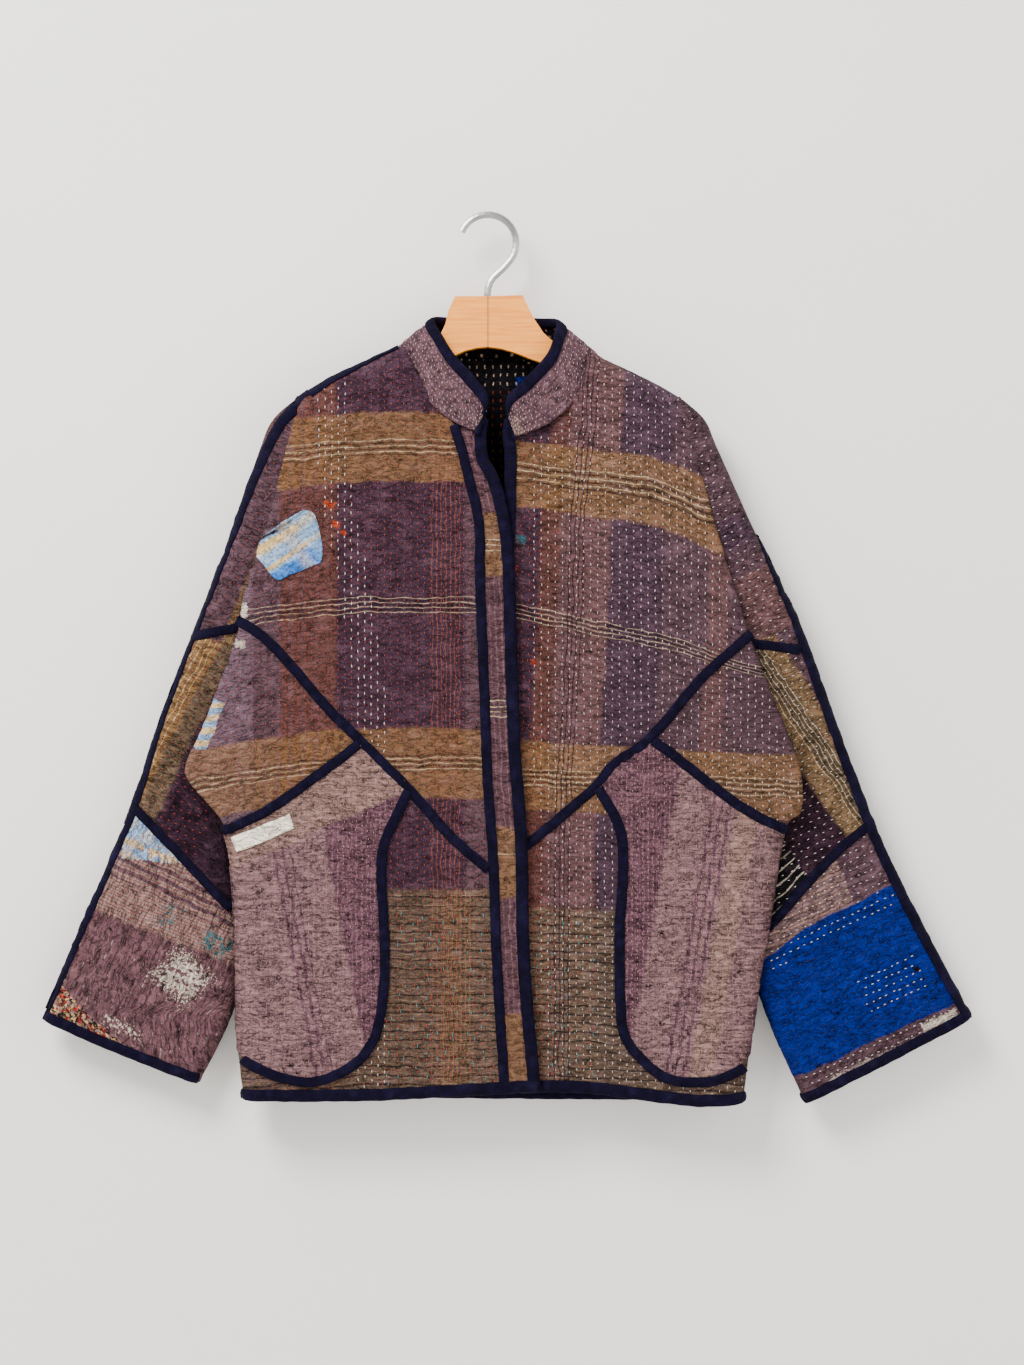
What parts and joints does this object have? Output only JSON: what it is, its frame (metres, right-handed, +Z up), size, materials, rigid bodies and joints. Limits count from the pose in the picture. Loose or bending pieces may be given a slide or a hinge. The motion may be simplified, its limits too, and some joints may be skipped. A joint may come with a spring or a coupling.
{
  "type": "patched boro jacket on a wooden clothes hanger",
  "caption": "Patched, quilted cotton jacket with navy bindings, a stand collar, wide one-piece sleeves and two curved pockets, hanging flat on a wooden hanger with a steel hook.",
  "frame": {"origin": "inside crown of the hanger's hook, where a nail or rail holds it", "axes": "+Z up, -Y out of the jacket's front, +X towards the wearer's left sleeve"},
  "size_m": [0.8868, 0.0585, 0.8499],
  "materials": {
    "plaid_quilt": "matte quilted cotton, plaid",
    "rose_cotton": "matte worn cotton",
    "blue_cotton": "matte worn cotton",
    "collar_cotton": "matte quilted cotton",
    "navy_tape": "matte puckered binding",
    "cream_cotton": "matte woven label, blank",
    "beech": "clear satin lacquer",
    "steel": "satin"
  },
  "bodies": {
    "root": {"right_upper_front": "plaid_quilt", "right_lower_front": "plaid_quilt", "right_diagonal_tape": "navy_tape", "right_hem_tape": "navy_tape", "right_edge_tape": "navy_tape", "right_pocket": "rose_cotton", "right_pocket_tape": "navy_tape", "right_pocket_top_tape": "navy_tape", "right_sleeve_front": "plaid_quilt", "right_cuff_front": "rose_cotton", "right_cuff_hem_front": "navy_tape", "right_sleeve_back": "plaid_quilt", "right_cuff_back": "rose_cotton", "right_cuff_hem_back": "navy_tape", "right_overarm_tape": "navy_tape", "right_ring_tape": "navy_tape", "right_cuff_tape": "navy_tape", "left_upper_front": "plaid_quilt", "left_lower_front": "plaid_quilt", "left_diagonal_tape": "navy_tape", "left_hem_tape": "navy_tape", "left_edge_tape": "navy_tape", "left_pocket": "rose_cotton", "left_pocket_tape": "navy_tape", "left_pocket_top_tape": "navy_tape", "left_sleeve_front": "plaid_quilt", "left_cuff_front": "blue_cotton", "left_cuff_hem_front": "navy_tape", "left_sleeve_back": "plaid_quilt", "left_cuff_back": "blue_cotton", "left_cuff_hem_back": "navy_tape", "left_overarm_tape": "navy_tape", "left_ring_tape": "navy_tape", "left_cuff_tape": "navy_tape", "placket": "plaid_quilt", "placket_tape": "navy_tape", "chest_patch": "blue_cotton", "label": "cream_cotton", "back": "plaid_quilt", "right_back_hem_tape": "navy_tape", "left_back_hem_tape": "navy_tape", "collar": "collar_cotton", "collar_tape": "navy_tape", "hook": "steel", "hanger_right": "beech", "hanger_left": "beech"}
  },
  "joints": []
}
